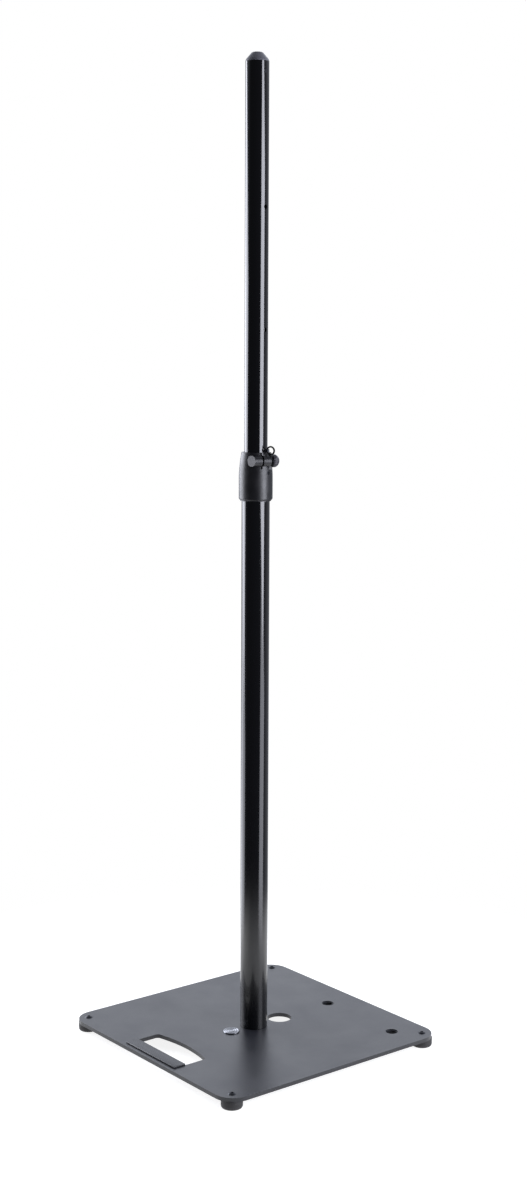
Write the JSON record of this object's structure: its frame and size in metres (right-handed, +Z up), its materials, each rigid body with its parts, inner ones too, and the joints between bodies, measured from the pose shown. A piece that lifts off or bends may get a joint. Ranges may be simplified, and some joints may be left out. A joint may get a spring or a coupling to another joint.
{
  "type": "speaker stand",
  "caption": "Telescopic loudspeaker stand: a square steel base plate on rubber feet carries a two-part pole with a clamp collar and a safety pin.",
  "frame": {"origin": "on the floor under the pole's axis, at the centre of the square base plate", "axes": "+Z up along the pole; +X from the pole towards the two spare M20 holes; the carry slot is at -X"},
  "size_m": [0.412, 0.412, 1.498],
  "materials": {
    "powder_coat": "fine textured satin black powder coat",
    "foot_rubber": "matt black rubber",
    "dark_screw": "black oxide steel",
    "zinc_steel": "bright zinc plated steel",
    "soft_black_plastic": "soft black plastic trim",
    "adhesive_pad": "foam adhesive pad",
    "badge_metal": "satin metal disc",
    "gloss_black_paint": "gloss black paint",
    "moulded_black_nylon": "satin moulded black nylon",
    "natural_nylon": "natural nylon",
    "insert_brass": "machined brass",
    "pin_steel": "blackened steel pin",
    "ring_wire": "blackened steel wire",
    "tether_cord": "braided black cord",
    "cap_plastic": "grey-black moulded plastic",
    "black_rivet": "black lacquered blind rivet"
  },
  "bodies": {
    "base": {"base_plate": "powder_coat", "foot_front_left": "foot_rubber", "foot_front_right": "foot_rubber", "foot_rear_right": "foot_rubber", "foot_rear_left": "foot_rubber", "foot_screws": "dark_screw", "foot_washers": "zinc_steel", "foot_nuts": "zinc_steel", "grip_strip": "soft_black_plastic", "badge_pad": "adhesive_pad", "badge_disc": "badge_metal", "lower_tube": "gloss_black_paint", "pole_plug": "zinc_steel", "base_stud": "zinc_steel", "collar_body": "moulded_black_nylon", "collar_liner": "natural_nylon", "collar_screws": "dark_screw", "clamp_bolt": "dark_screw", "tether_loop": "tether_cord"},
    "glide": {"glide_ring": "natural_nylon"},
    "mast": {"upper_tube": "gloss_black_paint", "tube_end_plug": "moulded_black_nylon", "glide_clip": "zinc_steel", "top_cap": "cap_plastic", "cap_rivets": "black_rivet"},
    "knob_carrier": {"knob_washer": "dark_screw"},
    "knob": {"clamp_knob": "moulded_black_nylon", "knob_insert": "insert_brass"},
    "pin": {"safety_pin": "pin_steel"},
    "ring": {"pin_ring": "ring_wire"}
  },
  "joints": [
    {"name": "height_slide", "type": "slide", "parent": "base", "child": "glide", "axis": [0, 0, 1], "range_m": [-0.356, 0.178]},
    {"name": "mast_swivel", "type": "hinge", "parent": "glide", "child": "mast", "pos_m": [0, 0, 0.7], "axis": [0, 0, 1], "continuous": true},
    {"name": "clamp_travel", "type": "slide", "parent": "base", "child": "knob_carrier", "axis": [0.9563, -0.2924, 0], "range_m": [0, 0.0025]},
    {"name": "clamp_turn", "type": "hinge", "parent": "knob_carrier", "child": "knob", "pos_m": [-0.00702, -0.02295, 0.906], "axis": [0.9563, -0.2924, 0], "range_deg": [0, 720]},
    {"name": "safety_pin_slide", "type": "slide", "parent": "base", "child": "pin", "axis": [0.1736, -0.9848, 0], "range_m": [0, 0.008], "deforming": ["tether_loop"]},
    {"name": "ring_swing", "type": "hinge", "parent": "pin", "child": "ring", "pos_m": [0.00399, -0.02265, 0.9212], "axis": [0, 0, 1], "range_deg": [-60, 0]}
  ],
  "couplings": [
    {"joint": "clamp_travel", "follows": "clamp_turn", "m_per_rad": 0.00019894}
  ]
}
